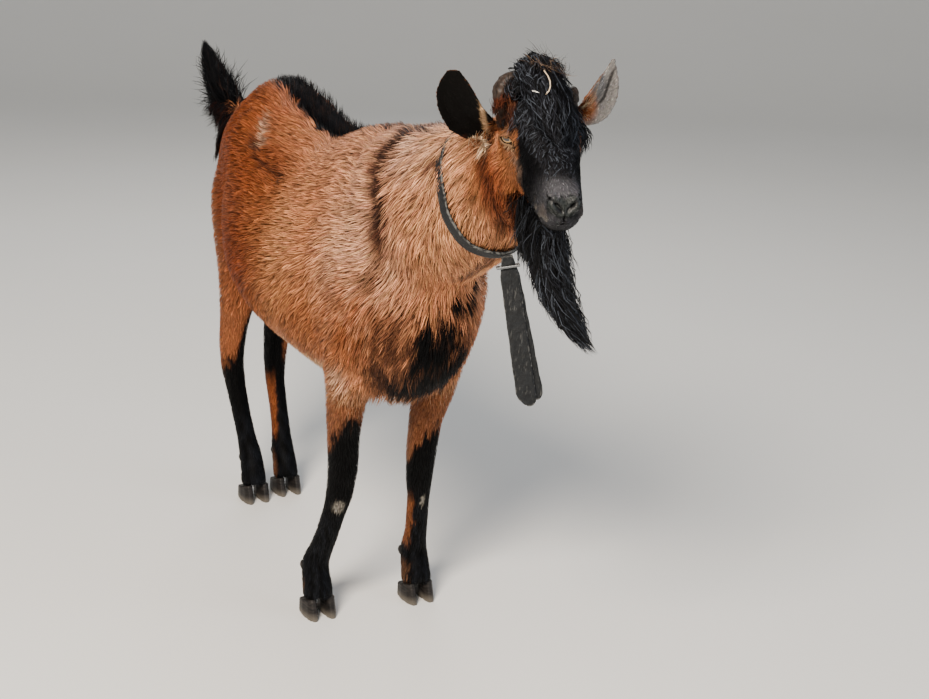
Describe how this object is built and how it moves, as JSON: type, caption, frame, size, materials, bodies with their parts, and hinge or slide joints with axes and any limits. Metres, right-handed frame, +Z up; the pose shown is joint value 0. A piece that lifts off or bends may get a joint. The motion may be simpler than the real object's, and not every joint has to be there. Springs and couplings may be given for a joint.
{
  "type": "standing goat figure",
  "caption": "Life-size still buck goat, chamois-coloured, standing with its head turned, with black beard, forelock and raised tail, wearing a leather collar with a hanging strap.",
  "frame": {"origin": "on the floor, under the centre of the goat's bounding box", "axes": "+Z up, -Y the way the goat's body faces, +X to the goat's left"},
  "size_m": [0.318, 1.4208, 0.9716],
  "materials": {
    "coat": "short glossy chamois coat, tan to rust red with black markings",
    "dark_coat": "short black hair of the legs with rust strips and pale knee patches",
    "long_hair": "long black hair of the forelock, beard and tail",
    "horn": "grey-brown keratin, ringed and flaking",
    "hoof": "grey keratin with pale worn edges",
    "eye": "pale iris with a level slit pupil under a clear wet surface",
    "leather": "weathered dark slate leather with pale worn edges",
    "steel": "dulled steel keeper"
  },
  "bodies": {
    "root": {"trunk": "coat", "neck": "coat", "head": "coat", "lower_jaw": "coat", "ear_right": "coat", "ear_left": "coat", "foreleg_right_upper": "coat", "foreleg_left_upper": "coat", "hindleg_right_upper": "coat", "hindleg_left_upper": "coat", "foreleg_right_lower": "dark_coat", "foreleg_right_claw_right": "hoof", "foreleg_right_dewclaw_right": "hoof", "foreleg_right_claw_left": "hoof", "foreleg_right_dewclaw_left": "hoof", "foreleg_left_lower": "dark_coat", "foreleg_left_claw_right": "hoof", "foreleg_left_dewclaw_right": "hoof", "foreleg_left_claw_left": "hoof", "foreleg_left_dewclaw_left": "hoof", "hindleg_right_lower": "dark_coat", "hindleg_right_claw_right": "hoof", "hindleg_right_dewclaw_right": "hoof", "hindleg_right_claw_left": "hoof", "hindleg_right_dewclaw_left": "hoof", "hindleg_left_lower": "dark_coat", "hindleg_left_claw_right": "hoof", "hindleg_left_dewclaw_right": "hoof", "hindleg_left_claw_left": "hoof", "hindleg_left_dewclaw_left": "hoof", "forelock": "long_hair", "beard": "long_hair", "tail": "long_hair", "horn_right": "horn", "horn_left": "horn", "eye_right": "eye", "eye_left": "eye", "collar": "leather", "strap_front": "leather", "strap_back": "leather", "strap_keeper": "steel"}
  },
  "joints": []
}
